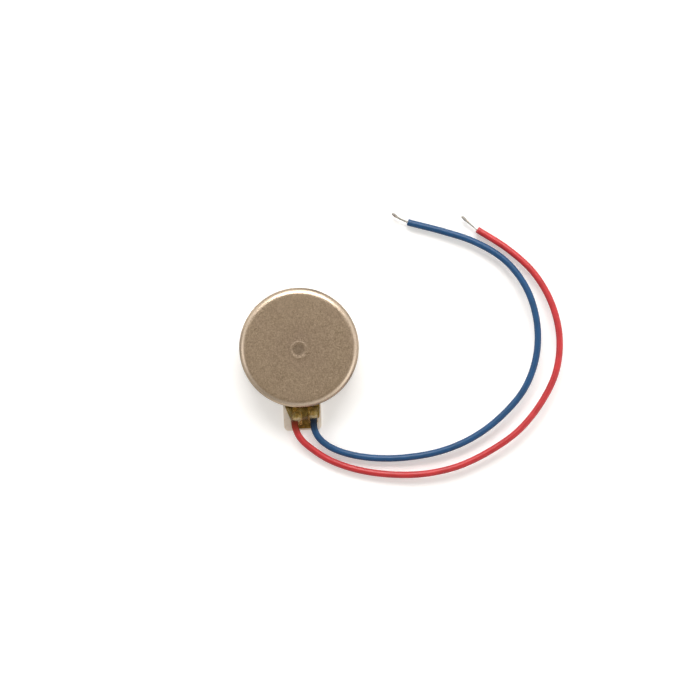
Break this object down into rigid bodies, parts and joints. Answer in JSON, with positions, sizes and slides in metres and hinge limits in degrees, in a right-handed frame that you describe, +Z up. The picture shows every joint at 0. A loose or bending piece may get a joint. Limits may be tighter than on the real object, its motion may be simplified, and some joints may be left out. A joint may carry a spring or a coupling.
{
  "type": "vibration coin motor",
  "caption": "Flat round brushed vibration motor: drawn steel case, side solder tab and a pair of curved flying leads; an eccentric wound rotor turns on a fixed centre shaft.",
  "frame": {"origin": "centre of the adhesive pad's underside, on the rotor axis", "axes": "+Z up along the shaft towards the closed end of the case, -Y out along the lead tab, +X completes the right hand; the leads sweep round the +X side"},
  "size_m": [0.0272, 0.0225, 0.0035],
  "materials": {
    "case_steel": "warm nickel-plated drawn steel, fine satin",
    "bracket_steel": "bright plated sheet steel",
    "shaft_steel": "ground and polished pin",
    "magnet_nickel": "nickel-plated sintered magnet",
    "polyimide_film": "amber polyimide film, glossy",
    "gold_plated_copper": "thin gold over copper",
    "brush_alloy": "rolled precious-metal spring leaf",
    "washer_film": "black film",
    "sintered_bronze": "porous oil-filled bronze",
    "board_laminate": "green solder mask",
    "enamelled_copper": "enamelled winding wire",
    "tungsten_alloy": "dark sintered heavy alloy",
    "moulding_resin": "black glass-filled resin",
    "red_insulation": "red extruded insulation, satin",
    "blue_insulation": "blue extruded insulation, satin",
    "tinned_copper": "tinned stranded copper",
    "solder": "bright solder with flux bloom",
    "joint_adhesive": "amber cured resin, glossy",
    "adhesive_pad": "pale double-sided foam tape"
  },
  "bodies": {
    "stator": {"adhesive_pad": "adhesive_pad", "bracket": "bracket_steel", "case_cover": "case_steel", "shaft": "shaft_steel", "flex_circuit": "polyimide_film", "positive_trace": "gold_plated_copper", "negative_trace": "gold_plated_copper", "ring_magnet": "magnet_nickel", "positive_brush": "brush_alloy", "negative_brush": "brush_alloy", "lower_washer": "washer_film", "upper_washer": "washer_film", "red_lead_insulation": "red_insulation", "blue_lead_insulation": "blue_insulation", "red_lead_conductor": "tinned_copper", "blue_lead_conductor": "tinned_copper", "red_solder_joint": "solder", "blue_solder_joint": "solder", "joint_adhesive": "joint_adhesive"},
    "rotor": {"rotor_bearing": "sintered_bronze", "commutator_board": "board_laminate", "rotor_overmould": "moulding_resin", "coil_left": "enamelled_copper", "coil_right": "enamelled_copper", "counterweight": "tungsten_alloy", "commutator_segment_1": "gold_plated_copper", "commutator_segment_2": "gold_plated_copper", "commutator_segment_3": "gold_plated_copper", "commutator_segment_4": "gold_plated_copper", "commutator_segment_5": "gold_plated_copper", "commutator_segment_6": "gold_plated_copper"}
  },
  "joints": [
    {"name": "rotor_spin", "type": "hinge", "parent": "stator", "child": "rotor", "pos_m": [0, 0, 0.002], "axis": [0, 0, 1], "continuous": true}
  ]
}
